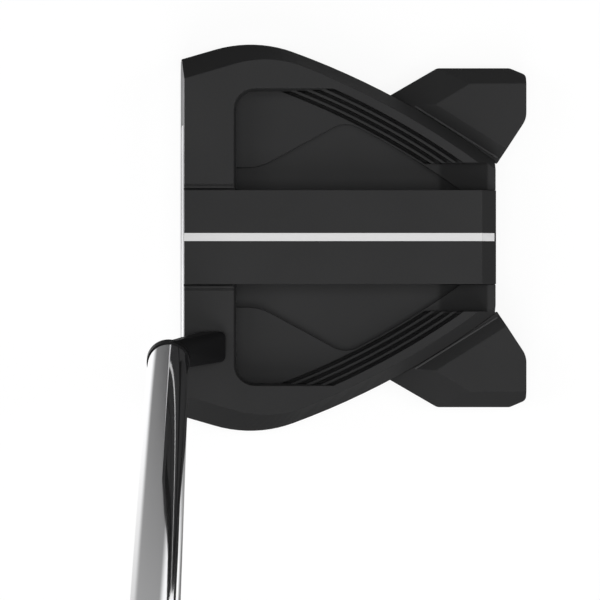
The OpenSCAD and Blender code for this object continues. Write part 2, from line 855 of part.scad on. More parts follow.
// Slant neck: upright foot, slanted body, collar, post for the shaft and peg in the head
module hosel() {
    w = neck_w / 2;
    d = neck_d / 2;
    disc = 0.2;
    color([0.1, 0.1, 0.11]) at_head() difference() {
        union() {
            hull() {
                translate([neck_x, neck_y, head_h]) linear_extrude(foot_h)
                    polygon(rounded([[-w, -d, neck_r], [w, -d, neck_r], [w, d, neck_r], [-w, d, neck_r]]));
                at_shaft() translate([0, 0, -arm_drop]) cylinder(r = arm_r, h = disc, $fn = 48);
            }
            at_shaft() translate([0, 0, -arm_drop - over])
                cylinder(r1 = arm_r - over, r2 = tip_r, h = arm_drop + over - collar_l);
            at_shaft() translate([0, 0, -collar_l]) cylinder(r = tip_r + collar_out, h = collar_l);
            at_shaft() translate([0, 0, -over]) cylinder(r = tip_r - shaft_wall - fit, h = post_l + over);
            translate([neck_x, neck_y, head_h - peg_l]) cylinder(r = peg_r, h = peg_l + over);
        }
        hosel_screw_place() cylinder(r = large_d / 2 + fit, h = large_l + fit);
    }
}

module shaft() {
    color([0.8, 0.81, 0.83]) at_head() at_shaft() rotate_extrude()
        polygon([
            [tip_r - shaft_wall, 0],
            [tip_r, 0],
            [butt_r, taper_l],
            [butt_r, shaft_l],
            [butt_r - shaft_wall, shaft_l],
            [butt_r - shaft_wall, taper_l]
        ]);
}

// Grip section at share t of its length: round at the mouth, flat in front at the butt
function swell(t) = pistol * pow(max(0, (t - pistol_start) / (1 - pistol_start)), 2);
function grip_corners(t) =
    let (
        low_r = grip_low_d / 2,
        w = blend(low_r, grip_w / 2, t),
        f = blend(low_r, grip_front, t),
        b = blend(low_r, grip_back, t) + swell(t),
        round_back = w * back_round
    )
    [
        [-f, -w, blend(round_back, front_r, t)],
        [b, -w, round_back],
        [b, w, round_back],
        [-f, w, blend(round_back, front_r, t)]
    ];
function grip_ring(t, d) = ring(rounded(inset(grip_corners(t), d)), grip_z + grip_l * t);
function grip_stack(d, past) =
    [for (i = [0:grip_rings])
        let (t = i == 0 ? -past : i == grip_rings ? 1 + past : i / grip_rings)
        grip_ring(t, d)];

module grip_tape() {
    inner_r = butt_r + fit / 4;
    color([0.9, 0.88, 0.8]) at_head() at_shaft() translate([0, 0, grip_z + over]) difference() {
        cylinder(r = inner_r + tape_t, h = grip_l - 2 * over);
        translate([0, 0, -over]) cylinder(r = inner_r, h = grip_l);
    }
}

module grip_core() {
    bore_r = butt_r + tape_t + fit;
    color([0.3, 0.3, 0.3]) at_head() at_shaft() difference() {
        skin(grip_stack(skin_t + fit / 2, 0));
        cylinder(r = bore_r, h = shaft_l + over);
    }
}

module grip_skin() {
    color([0.08, 0.08, 0.09]) at_head() at_shaft() difference() {
        skin(grip_stack(0, 0));
        skin(grip_stack(skin_t, over / grip_l));
    }
}

module grip_mouth() {
    low_r = grip_low_d / 2;
    bore_r = butt_r + fit;
    lip = 1;
    color([0.08, 0.08, 0.09]) at_head() at_shaft() translate([0, 0, grip_z - mouth_l]) rotate_extrude()
        polygon([[bore_r, 0], [low_r - 2 * lip, 0], [low_r - lip, lip], [low_r, mouth_l], [bore_r, mouth_l]]);
}

module grip_cap() {
    section = grip_corners(1);
    color([0.08, 0.08, 0.09]) at_head() at_shaft() difference() {
        translate([0, 0, shaft_l]) skin([
            ring(rounded(section), 0),
            ring(rounded(section), cap_t - cap_edge),
            ring(rounded(inset(section, cap_edge * steep)), cap_t - cap_edge * steep),
            ring(rounded(inset(section, cap_edge)), cap_t)
        ]);
        translate([0, 0, shaft_l - over]) cylinder(d = vent_d, h = cap_t + 2 * over);
    }
}

head_frame();
sole_plate();
centre_beam();
sight_line();
toe_wing();
heel_wing();
face_insert();
insert_tape();
toe_weight();
heel_weight();
toe_weight_screw();
heel_weight_screw();
frame_screws();
beam_screws();
wing_screws();
hosel();
hosel_screw();
shaft();
grip_tape();
grip_core();
grip_skin();
grip_mouth();
grip_cap();
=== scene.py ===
"""Looks of a mallet putter: satin black head, chrome shaft and moulded grip in a plain white studio."""

import json
import math

import bmesh
import bpy
from bpy.props import FloatProperty, FloatVectorProperty, IntProperty, PointerProperty
from mathutils import Matrix, Vector
from mathutils.bvhtree import BVHTree


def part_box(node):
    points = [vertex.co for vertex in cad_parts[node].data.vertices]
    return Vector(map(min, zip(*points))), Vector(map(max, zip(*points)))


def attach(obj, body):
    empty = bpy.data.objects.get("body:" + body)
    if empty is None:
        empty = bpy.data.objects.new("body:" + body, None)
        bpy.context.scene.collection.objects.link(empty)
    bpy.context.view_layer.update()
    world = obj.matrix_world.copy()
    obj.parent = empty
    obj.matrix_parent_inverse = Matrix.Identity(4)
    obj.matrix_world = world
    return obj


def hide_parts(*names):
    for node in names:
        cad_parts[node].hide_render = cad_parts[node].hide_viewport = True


bl_info = {
    "name": "Mallet putter",
    "version": (1, 0, 0),
    "blender": (4, 5, 0),
    "location": "View3D > Sidebar > Putter",
    "description": "Dresses a mallet putter and sets it in a white studio",
    "category": "Object",
}

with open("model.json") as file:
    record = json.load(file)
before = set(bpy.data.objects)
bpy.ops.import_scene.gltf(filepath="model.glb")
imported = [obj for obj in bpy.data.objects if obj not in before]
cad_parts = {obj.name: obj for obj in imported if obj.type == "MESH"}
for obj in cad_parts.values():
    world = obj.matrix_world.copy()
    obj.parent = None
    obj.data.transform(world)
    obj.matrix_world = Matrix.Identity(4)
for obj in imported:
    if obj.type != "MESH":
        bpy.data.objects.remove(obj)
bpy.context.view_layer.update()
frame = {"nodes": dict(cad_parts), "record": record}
NODES = frame["nodes"]
MOUNTS = {m["name"]: m for m in frame["record"]["mounts"]}
MM = 0.001
# Points nearer than this are one
JOIN = 0.001 * MM
# How far a fine grain's bump stands out
GRAIN_HEIGHT = 0.02 * MM

FACE_POINT = Vector(MOUNTS["strike_face"]["pos_m"])
FACE_NORMAL = Vector(MOUNTS["strike_face"]["axis"])
# Depths behind the face's plane between which its bare finish fades in
FACE_SKIN = (0.09 * MM, 0.05 * MM)
SHAFT_AXIS = Vector(MOUNTS["hand_grip"]["axis"])
GRIP_MIDDLE = Vector(MOUNTS["hand_grip"]["pos_m"])
GRIP_LENGTH = MOUNTS["hand_grip"]["dims"]["length_mm"] * MM
# Turns shaft space (+Z up the shaft, -X on the grip's flat front, origin at the grip's middle) to the row frame
SHAFT_SPACE = Matrix.Translation(GRIP_MIDDLE) @ Vector((0, 0, 1)).rotation_difference(SHAFT_AXIS).to_matrix().to_4x4()

# The foot of the heel wing's inner facet, from front to rear, in mm, and the radius of the lip on it
LIP_LINE = ((34.6, 19.2, 12.4), (21.2, 40.6, 12.4))
LIP_R = 0.34 * MM

# The ramps behind the pocket's floor: where their painted shade starts and ends along Y, its reach along X, and how
# dark it is
RAMP_START = (24.4 * MM, 26.4 * MM)
RAMP_END = (38.6 * MM, 37.4 * MM)
RAMP_SIDE = (19.8 * MM, 19.5 * MM)
RAMP_PAINTED_SHADE = 0.62

# The sight line's painted light on the beam's rear slope, which offsets the slope's shade, and the depths under the
# top between which it starts
LINE_PAINTED_LIGHT = 1.5
LINE_DROP = (0.15 * MM, 0.02 * MM)

# The grooves on the grip's flat front: where they fade out across it, and from each end
RIB_ACROSS = (8.5 * MM, 6.0 * MM)
RIB_ENDS = (12 * MM, 18 * MM)
# The seam down the grip's back: where it starts to dip and where it is deepest, to each side of the middle
SEAM_ACROSS = (0.9 * MM, 0.2 * MM)
# The grip's section is read this far inside its ends
GRIP_INSET = 0.1 * MM
INNER_ROWS = 16
CAP_ROWS = 8

# Soft lamps round the head: name, place and power; the last one, under the floor, lights the sole alone
LAMPS = (
    ("Over", (0.0, 0.0, 2.5), 17.5),
    ("Heel", (1.5, 0.0, 2.0), 19.5),
    ("Low heel", (2.4, 0.0, 0.7), 7.5),
    ("Rear", (0.0, 1.5, 2.0), 18.5),
    ("Front", (0.0, -1.5, 2.0), 13.5),
    ("Under", (0.0, 0.4, -2.2), 25.0),
)
LAMP_SIZE = 1.2

# Half the floor's width, and how far it lies under the sole
FLOOR_HALF = 30.0
FLOOR_DROP = 0.5 * MM

# The floor as polished metal sees it, a painted reflection: the floor glows for reflections alone in a pattern of
# painted shadow and light; each pair is the two limits between which one value runs to another.
# The centre of its painted shadow, by the face, and how far from there it reaches its dim level
PAINTED_SHADOW_POINT = (-10 * MM, -40 * MM, 0.0)
PAINTED_SHADOW_REACH = 140 * MM
PAINTED_SHADOW_LEVEL = 0.33
# The bright sector of painted light ahead of the heel: Y of its corner, its sides in radians from straight ahead, and
# how it thins
SECTOR_Y = -50 * MM
SECTOR_SIDES = ((0.0, 0.65), (2.0, 1.3))
SECTOR_REACH = (130 * MM, 50 * MM)
SECTOR_FAR = 0.4
# The rear's painted light, and the painted shade beside the heel
BRIGHT_Y = (-10 * MM, 30 * MM)
BESIDE_X = (55 * MM, 85 * MM)
BESIDE_Y = (-70 * MM, -40 * MM)
BESIDE_PAINTED_SHADE = 0.15


class HeadLook(bpy.types.PropertyGroup):
    """Colours and edges of the head."""

    black: FloatVectorProperty(
        name="Black finish", description="Satin black of the head's pieces",
        subtype="COLOR", size=4, default=(0.034, 0.034, 0.0345, 1.0))
    bare: FloatVectorProperty(
        name="Bare face", description="Milled metal left bare on the face",
        subtype="COLOR", size=4, default=(0.5, 0.5, 0.51, 1.0))
    insert: FloatVectorProperty(
        name="Face insert", description="Pale metal of the face insert",
        subtype="COLOR", size=4, default=(0.94, 0.94, 0.95, 1.0))
    line: FloatVectorProperty(
        name="Sight line", description="White of the sight line",
        subtype="COLOR", size=4, default=(0.63, 0.63, 0.63, 1.0))
    neck: FloatVectorProperty(
        name="Neck", description="Deeper black of the slant neck",
        subtype="COLOR", size=4, default=(0.0095, 0.0095, 0.01, 1.0))
    steel: FloatVectorProperty(
        name="Steel", description="Weights and screws",
        subtype="COLOR", size=4, default=(0.36, 0.36, 0.37, 1.0))
    # The lip's lighter black is a painted highlight along each wing's inner foot
    lip: FloatVectorProperty(
        name="Wing lip", description="Highlight-painted black of the fine lip on each wing",
        subtype="COLOR", size=4, default=(0.054, 0.054, 0.055, 1.0))
    tape: FloatVectorProperty(
        name="Bond tape", description="Tape behind the face insert",
        subtype="COLOR", size=4, default=(0.42, 0.38, 0.26, 1.0))
    edge: FloatProperty(
        name="Edge break", description="Width of the broken edges of the machined pieces",
        subtype="DISTANCE", unit="LENGTH", default=0.14 * MM)


class ShaftLook(bpy.types.PropertyGroup):
    """Colour and smoothness of the shaft."""

    chrome: FloatVectorProperty(
        name="Chrome", description="Polished plating of the shaft",
        subtype="COLOR", size=4, default=(0.8, 0.8, 0.81, 1.0))
    wall: FloatProperty(
        name="Wall", description="Thickness of the tube",
        subtype="DISTANCE", unit="LENGTH", default=0.55 * MM)
    edge: FloatProperty(
        name="Tip edge", description="Broken edge round the tip",
        subtype="DISTANCE", unit="LENGTH", default=0.25 * MM)
    segments: IntProperty(
        name="Segments", description="Sides of the turned shaft", default=128, min=32)


class GripLook(bpy.types.PropertyGroup):
    """Colours and pattern of the grip."""

    rubber: FloatVectorProperty(
        name="Rubber", description="Moulded grip",
        subtype="COLOR", size=4, default=(0.014, 0.014, 0.015, 1.0))
    paper: FloatVectorProperty(
        name="Paper tape", description="Tape between the shaft and the grip",
        subtype="COLOR", size=4, default=(0.7, 0.66, 0.55, 1.0))
    foam: FloatVectorProperty(
        name="Foam core", description="Underlisting inside the grip",
        subtype="COLOR", size=4, default=(0.07, 0.07, 0.07, 1.0))
    rib: FloatProperty(
        name="Rib pitch", description="Spacing of the grooves across the flat front",
        subtype="DISTANCE", unit="LENGTH", default=5.0 * MM)
    rib_depth: FloatProperty(
        name="Rib depth", description="Depth of the grooves and of the back seam",
        subtype="DISTANCE", unit="LENGTH", default=0.4 * MM)
    wall: FloatProperty(
        name="Wall", description="Thickness of the sleeve",
        subtype="DISTANCE", unit="LENGTH", default=1.1 * MM)
    cap_edge: FloatProperty(
        name="Cap edge", description="Radius of the butt cap's soft edge",
        subtype="DISTANCE", unit="LENGTH", default=2.6 * MM)
    mouth_edge: FloatProperty(
        name="Mouth edge", description="Width of the broken edge of the lower end ring",
        subtype="DISTANCE", unit="LENGTH", default=0.4 * MM)
    rows: IntProperty(name="Rows", description="Faces along the sleeve", default=262, min=32)
    columns: IntProperty(name="Columns", description="Faces round the sleeve", default=96, min=24)


class StageLook(bpy.types.PropertyGroup):
    """Floor, lamps and camera."""

    floor: FloatProperty(
        name="Floor", description="Grey that the floor sends back of the light on it", default=0.15)
    shadow: FloatProperty(
        name="Shadow", description="The same grey for the camera alone, which sets the shadow's depth", default=0.11)
    glow: FloatProperty(
        name="Floor glow", description="What the camera sees of the floor besides that, up to white", default=0.9)
    level: FloatProperty(
        name="Lamp level", description="Share of the lamps' written power", default=1.0, min=0.0)
    sky: FloatProperty(
        name="Room light", description="Strength of the room's even light", default=0.05)
    eye: FloatVectorProperty(
        name="Camera", description="Place of the camera above the head",
        subtype="XYZ", unit="LENGTH", size=3, default=(0.01655, -0.0115, 1.7054))
    lens: FloatProperty(
        name="Lens", description="Focal length on a 36 mm sensor", default=383.5)


def look(context, name):
    """The named property group of the scene."""
    return getattr(context.scene, name)


def node_in(tree, kind, **settings):
    """Adds a shader node and sets its properties, or its inputs where a key starts with in_."""
    node = tree.nodes.new(kind)
    for key, value in settings.items():
        if key.startswith("in_"):
            node.inputs[key[3:].replace("_", " ")].default_value = value
        else:
            setattr(node, key, value)
    return node


def feed(tree, target, source):
    """Links a socket to an input, or sets the input to a plain value."""
    if isinstance(source, float):
        target.default_value = source
    else:
        tree.links.new(source, target)


def ramp(tree, source, low, high, first=0.0, last=1.0, kind="SMOOTHSTEP"):
    """Runs from one value to another while the source runs from low to high; returns the socket."""
    step = node_in(
        tree, "ShaderNodeMapRange", interpolation_type=kind, in_From_Min=low, in_From_Max=high, in_To_Min=first,
        in_To_Max=last)
    tree.links.new(source, step.inputs["Value"])
    return step.outputs["Result"]


def joined(tree, operation, *sources):
    """One math operation on sockets or plain values; returns the socket."""
    node = node_in(tree, "ShaderNodeMath", operation=operation)
    for end, source in zip(node.inputs, sources):
        feed(tree, end, source)
    return node.outputs[0]


def object_place(tree):
    """The X, Y and Z sockets of a point in the object's own coordinates."""
    coords = node_in(tree, "ShaderNodeTexCoord")
    place = node_in(tree, "ShaderNodeSeparateXYZ")
    tree.links.new(coords.outputs["Object"], place.inputs[0])
    return place.outputs


def new_group(name, inputs, outputs):
    """An empty shader node group with float or vector sockets; returns it with its two ends."""
    tree = bpy.data.node_groups.new(name, "ShaderNodeTree")
    for label, kind, value in inputs:
        socket = tree.interface.new_socket(label, in_out="INPUT", socket_type=kind)
        socket.default_value = value
    for label, kind in outputs:
        tree.interface.new_socket(label, in_out="OUTPUT", socket_type=kind)
    return tree, tree.nodes.new("NodeGroupInput"), tree.nodes.new("NodeGroupOutput")


def grain_group():
    """Fine even grain: a tone for colours, a roughness offset and a height."""
    tree, start, end = new_group(
        "Fine grain",
        [("Size", "NodeSocketFloat", 0.3 * MM), ("Tone", "NodeSocketFloat", 0.1), ("Rough", "NodeSocketFloat", 0.05)],
        [("Tone", "NodeSocketFloat"), ("Rough", "NodeSocketFloat"), ("Height", "NodeSocketFloat")])
    link = tree.links.new
    coords = node_in(tree, "ShaderNodeTexCoord")
    fine = node_in(tree, "ShaderNodeTexNoise", in_Detail=3.0, in_Roughness=0.6)
    broad = node_in(tree, "ShaderNodeTexNoise", in_Scale=45.0, in_Detail=2.0)
    for noise in (fine, broad):
        link(coords.outputs["Object"], noise.inputs["Vector"])
    link(joined(tree, "DIVIDE", 1.0, start.outputs["Size"]), fine.inputs["Scale"])
    centred = joined(tree, "SUBTRACT", joined(tree, "ADD", fine.outputs["Fac"], broad.outputs["Fac"]), 1.0)
    link(joined(tree, "MULTIPLY_ADD", centred, start.outputs["Tone"], 1.0), end.inputs["Tone"])
    link(joined(tree, "MULTIPLY", centred, start.outputs["Rough"]), end.inputs["Rough"])
    link(fine.outputs["Fac"], end.inputs["Height"])
    return tree


def face_group():
    """Mask of what lies on the face's plane, and the height of its fine milling lines."""
    tree, start, end = new_group(
        "Milled face",
        [("Pitch", "NodeSocketFloat", 0.6 * MM)],
        [("Mask", "NodeSocketFloat"), ("Lines", "NodeSocketFloat")])
    link = tree.links.new
    coords = node_in(tree, "ShaderNodeTexCoord")
    ahead = node_in(tree, "ShaderNodeVectorMath", operation="DOT_PRODUCT")
    link(coords.outputs["Object"], ahead.inputs[0])
    ahead.inputs[1].default_value = FACE_NORMAL
    plane = FACE_NORMAL.dot(FACE_POINT)
    low, high = (plane - depth for depth in FACE_SKIN)
    link(ramp(tree, ahead.outputs["Value"], low, high, kind="LINEAR"), end.inputs["Mask"])
    lines = joined(tree, "DIVIDE", object_place(tree)["Z"], start.outputs["Pitch"])
    link(joined(tree, "SINE", joined(tree, "MULTIPLY", lines, math.tau)), end.inputs["Lines"])
    return tree


def group_named(name, maker):
    """The node group of that name, built at its first use."""
    return bpy.data.node_groups.get(name) or maker()


class Finish:
    """A material with a principled shader, with the steps that each finish uses."""

    def __init__(self, name, **sockets):
        self.material = bpy.data.materials.new(name)
        self.material.use_nodes = True
        self.tree = self.material.node_tree
        self.shader = self.tree.nodes["Principled BSDF"]
        self.set(**sockets)

    def set(self, **sockets):
        """Sets plain values on the shader's own sockets."""
        for key, value in sockets.items():
            self.shader.inputs[key.replace("_", " ")].default_value = value

    def add(self, kind, **settings):
        """Adds a node to this material."""
        return node_in(self.tree, kind, **settings)

    def link(self, source, target):
        """Links two sockets of this material."""
        self.tree.links.new(source, target)

    def group(self, tree, **values):
        """Places a node group with its own values."""
        node = self.add("ShaderNodeGroup", node_tree=tree)
        for key, value in values.items():
            node.inputs[key].default_value = value
        return node

    def grain(self, **values):
        """Places the fine grain."""
        return self.group(group_named("Fine grain", grain_group), **values)

    def face(self, **values):
        """Places the milled face's mask and lines."""
        return self.group(group_named("Milled face", face_group), **values)

    def colour(self, source):
        """Feeds the base colour."""
        self.link(source, self.shader.inputs["Base Color"])

    def toned(self, colour, tone):
        """A colour times a grey value; returns the socket."""
        mixed = self.add("ShaderNodeVectorMath", operation="SCALE")
        mixed.inputs[0].default_value = colour[:3]
        self.link(tone, mixed.inputs["Scale"])
        return mixed.outputs[0]

    def rough(self, base, offset):
        """Roughness around a base value."""
        total = self.add("ShaderNodeMath", operation="ADD", use_clamp=True)
        total.inputs[0].default_value = base
        self.link(offset, total.inputs[1])
        self.link(total.outputs[0], self.shader.inputs["Roughness"])

    def bump(self, height, strength=0.2, distance=GRAIN_HEIGHT):
        """Bump from a height."""
        bump = self.add("ShaderNodeBump", in_Strength=strength, in_Distance=distance)
        self.link(height, bump.inputs["Height"])
        self.link(bump.outputs["Normal"], self.shader.inputs["Normal"])


def satin_black(name, colour, bare, shade=None, roughness=0.62):
    """Black anodised metal with a fine blasted grain and any painted shade given, bare and milled on the face."""
    finish = Finish(name, Specular_IOR_Level=0.012)
    grain = finish.grain(Size=0.22 * MM, Tone=0.22, Rough=0.1)
    face = finish.face()
    mixed = finish.add("ShaderNodeMix", data_type="RGBA")
    finish.link(face.outputs["Mask"], mixed.inputs["Factor"])
    tone = grain.outputs["Tone"]
    if shade:
        # Painted shade darkens the black where the mask is given
        tone = joined(finish.tree, "MULTIPLY", tone, shade(finish.tree))
    finish.link(finish.toned(colour, tone), mixed.inputs["A"])
    finish.link(finish.toned(bare, grain.outputs["Tone"]), mixed.inputs["B"])
    finish.colour(mixed.outputs["Result"])
    finish.link(face.outputs["Mask"], finish.shader.inputs["Metallic"])
    finish.rough(roughness, grain.outputs["Rough"])
    finish.bump(grain.outputs["Height"], strength=0.25)
    return finish.material


def plain_grain(name, colour, roughness, size=0.3 * MM, tone=0.1, rough=0.05, height=GRAIN_HEIGHT, **sockets):
    """One colour with a fine grain in its tone, gloss and height."""
    finish = Finish(name, **sockets)
    grain = finish.grain(Size=size, Tone=tone, Rough=rough)
    finish.colour(finish.toned(colour, grain.outputs["Tone"]))
    finish.rough(roughness, grain.outputs["Rough"])
    finish.bump(grain.outputs["Height"], distance=height)
    return finish.material


def dress(node, material):
    """Gives a CAD node one material."""
    mesh = NODES[node].data
    mesh.materials.clear()
    mesh.materials.append(material)


def break_edges(node, width, angle=25.0, whole_faces=True):
    """Joins a CAD node's triangles, to whole faces unless those have many holes, and breaks its sharp edges."""
    piece = NODES[node]
    weld = piece.modifiers.new("Join", "WELD")
    weld.merge_threshold = JOIN
    if whole_faces:
        flat = piece.modifiers.new("Flat faces", "DECIMATE")
        flat.decimate_type = "DISSOLVE"
        flat.angle_limit = math.radians(0.5)
    bevel = piece.modifiers.new("Broken edges", "BEVEL")
    bevel.width = width
    bevel.segments = 2
    bevel.limit_method = "ANGLE"
    bevel.angle_limit = math.radians(angle)
    bevel.use_clamp_overlap = False
    bevel.harden_normals = False
    normals = piece.modifiers.new("Even normals", "WEIGHTED_NORMAL")
    normals.keep_sharp = True


def keep_piece(name, bm, material, body, *nodes):
    """Makes an object of a bmesh at the origin, dresses it and hides any CAD nodes named, which it stands in for."""
    mesh = bpy.data.meshes.new(name)
    bm.to_mesh(mesh)
    bm.free()
    for polygon in mesh.polygons:
        polygon.use_smooth = True
    mesh.materials.append(material)
    piece = bpy.data.objects.new(name, mesh)
    bpy.context.scene.collection.objects.link(piece)
    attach(piece, body)
    if nodes:
        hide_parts(*nodes)
    return piece


def smooth_step(low, high, value):
    """Zero at low and one at high, with a soft start and end; low may be the larger."""
    share = min(max((value - low) / (high - low), 0.0), 1.0)
    return share * share * (3 - 2 * share)


def outer_reach(node):
    """A function of angle and height that gives how far a CAD node reaches from the shaft's axis."""
    mesh = NODES[node].data
    tree = BVHTree.FromPolygons([v.co for v in mesh.vertices], [p.vertices[:] for p in mesh.polygons])
    far = 100 * MM

    def reach(angle, z):
        side = Vector((math.cos(angle), math.sin(angle), 0.0))
        start = SHAFT_SPACE @ (far * side + Vector((0.0, 0.0, z)))
        hit = tree.ray_cast(start, -(SHAFT_SPACE.to_3x3() @ side))
        if hit[0] is None:
            raise RuntimeError(f"{node} has no wall at {z:.4f} m")
        return far - hit[3]

    return reach


def wrapped(columns, rows, place):
    """A grid wrapped round the shaft and closed; place gives radius and height for an angle and a row."""
    bm = bmesh.new()
    bmesh.ops.create_grid(bm, x_segments=columns, y_segments=rows, size=0.5)
    for vert in bm.verts:
        angle = math.tau * (round((vert.co.x + 0.5) * columns) % columns) / columns
        r, z = place(angle, round((vert.co.y + 0.5) * rows))
        vert.co = (r * math.cos(angle), r * math.sin(angle), z)
    bmesh.ops.remove_doubles(bm, verts=bm.verts, dist=JOIN)
    bmesh.ops.recalc_face_normals(bm, faces=bm.faces)
    bmesh.ops.transform(bm, matrix=SHAFT_SPACE, verts=bm.verts)
    return bm


class PUTTER_OT_head(bpy.types.Operator):
    """Finish the frame, the beam, the wings and the sole plate in satin black"""

    bl_idname = "putter.head"
    bl_label = "Head"

    def execute(self, context):
        style = look(context, "putter_head")
        black = satin_black("Satin black", style.black, style.bare)
        # The frame's black carries painted shade on the ramps behind the pocket
        black_with_painted_shade = satin_black("Frame black with painted shade", style.black, style.bare, self.rear_painted_shade)
        for node in ("head_frame", "centre_beam", "toe_wing", "heel_wing", "sole_plate"):
            dress(node, black_with_painted_shade if node == "head_frame" else black)
            break_edges(node, style.edge, whole_faces=node != "sole_plate")
        dress("sight_line", self.inlay(style.line))
        # The lips' lighter black is a painted highlight, not wear
        lip_highlight_black = plain_grain("Highlight-painted black", style.lip, roughness=0.55, Specular_IOR_Level=0.05)
        for side, sign in (("toe", -1), ("heel", 1)):
            self.lip(side, sign, lip_highlight_black)
        return {"FINISHED"}

    def lip(self, side, sign, material):
        """The fine round lip along the foot of a wing's inner facet, whose lighter black is a painted highlight."""
        front, rear = (Vector((sign * x, y, z)) * MM for x, y, z in LIP_LINE)
        bm = bmesh.new()
        bmesh.ops.create_uvsphere(bm, u_segments=16, v_segments=9, radius=LIP_R)
        bmesh.ops.translate(bm, vec=(0, 0, (rear - front).length), verts=[v for v in bm.verts if v.co.z > 0])
        turn = Vector((0, 0, 1)).rotation_difference(rear - front).to_matrix().to_4x4()
        bmesh.ops.transform(bm, matrix=Matrix.Translation(front) @ turn, verts=bm.verts)
        keep_piece(f"{side}_wing_lip_painted_highlight", bm, material, "club")

    def rear_painted_shade(self, tree):
        """Painted shade on the two ramps between the rails, behind the pocket's floor; returns the socket."""
        place = object_place(tree)
        along = joined(tree, "MULTIPLY", ramp(tree, place["Y"], *RAMP_START), ramp(tree, place["Y"], *RAMP_END))
        across = ramp(tree, joined(tree, "ABSOLUTE", place["X"]), *RAMP_SIDE)
        return ramp(tree, joined(tree, "MULTIPLY", along, across), 0.0, 1.0, 1.0, RAMP_PAINTED_SHADE)

    def inlay(self, colour):
        """White inlay, with painted light where it runs down the beam's rear slope to offset the slope's shade."""
        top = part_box("sight_line")[1][2]
        finish = Finish("White inlay")
        grain = finish.grain(Tone=0.04)
        low, high = (top - drop for drop in LINE_DROP)
        painted_light = ramp(finish.tree, object_place(finish.tree)["Z"], low, high, LINE_PAINTED_LIGHT, 1.0)
        finish.colour(finish.toned(colour, joined(finish.tree, "MULTIPLY", grain.outputs["Tone"], painted_light)))
        finish.rough(base=0.45, offset=grain.outputs["Rough"])
        finish.bump(grain.outputs["Height"])
        return finish.material


class PUTTER_OT_face(bpy.types.Operator):
    """Finish the face insert and the bond tape behind it"""

    bl_idname = "putter.face"
    bl_label = "Face"

    def execute(self, context):
        style = look(context, "putter_head")
        finish = Finish("Pale insert", Metallic=1.0)
        grain = finish.grain(Size=0.4 * MM, Tone=0.08, Rough=0.08)
        face = finish.face(Pitch=0.9 * MM)
        finish.colour(finish.toned(style.insert, grain.outputs["Tone"]))
        finish.rough(base=0.85, offset=grain.outputs["Rough"])
        finish.bump(face.outputs["Lines"], strength=0.5)
        dress("face_insert", finish.material)
        break_edges("face_insert", style.edge)
        dress("insert_tape", plain_grain("Bond tape", style.tape, roughness=0.7))
        return {"FINISHED"}


class PUTTER_OT_fasteners(bpy.types.Operator):
    """Finish the weights and the screws in turned steel"""

    bl_idname = "putter.fasteners"
    bl_label = "Weights and screws"

    def execute(self, context):
        style = look(context, "putter_head")
        steel = plain_grain(
            "Plain steel", style.steel, roughness=0.32, size=0.15 * MM, tone=0.15, rough=0.1, Metallic=1.0)
        for node in ("frame_screws", "beam_screws", "wing_screws", "hosel_screw"):
            dress(node, steel)
            break_edges(node, style.edge / 2)
        for side in ("toe", "heel"):
            turned = self.turned_steel(side, style.steel)
            for node in (f"{side}_weight", f"{side}_weight_screw"):
                dress(node, turned)
                break_edges(node, style.edge)
        return {"FINISHED"}

    def turned_steel(self, side, colour):
        """Steel with turning marks about one weight's centre."""
        low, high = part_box(f"{side}_weight")
        finish = Finish(f"Turned steel {side}", Metallic=1.0)
        grain = finish.grain(Size=0.15 * MM, Tone=0.12, Rough=0.1)
        coords = finish.add("ShaderNodeTexCoord")
        centre = finish.add("ShaderNodeMapping")
        centre.inputs["Location"].default_value = -(Vector(low) + Vector(high)) / 2
        rings = finish.add(
            "ShaderNodeTexWave", wave_type="RINGS", rings_direction="Z", in_Scale=450.0, in_Distortion=1.5)
        finish.link(coords.outputs["Object"], centre.inputs["Vector"])
        finish.link(centre.outputs["Vector"], rings.inputs["Vector"])
        finish.colour(finish.toned(colour, grain.outputs["Tone"]))
        finish.rough(base=0.28, offset=grain.outputs["Rough"])
        finish.bump(rings.outputs["Fac"], strength=0.3)
        return finish.material


class PUTTER_OT_neck(bpy.types.Operator):
    """Finish the slant neck in a deeper, smoother black"""

    bl_idname = "putter.neck"
    bl_label = "Neck"

    def execute(self, context):
        style = look(context, "putter_head")
        dress("hosel", plain_grain(
            "Neck black", style.neck, roughness=0.34, size=0.25 * MM, tone=0.15, rough=0.06,
            Specular_IOR_Level=0.05))
        break_edges("hosel", style.edge, angle=35.0)
        return {"FINISHED"}


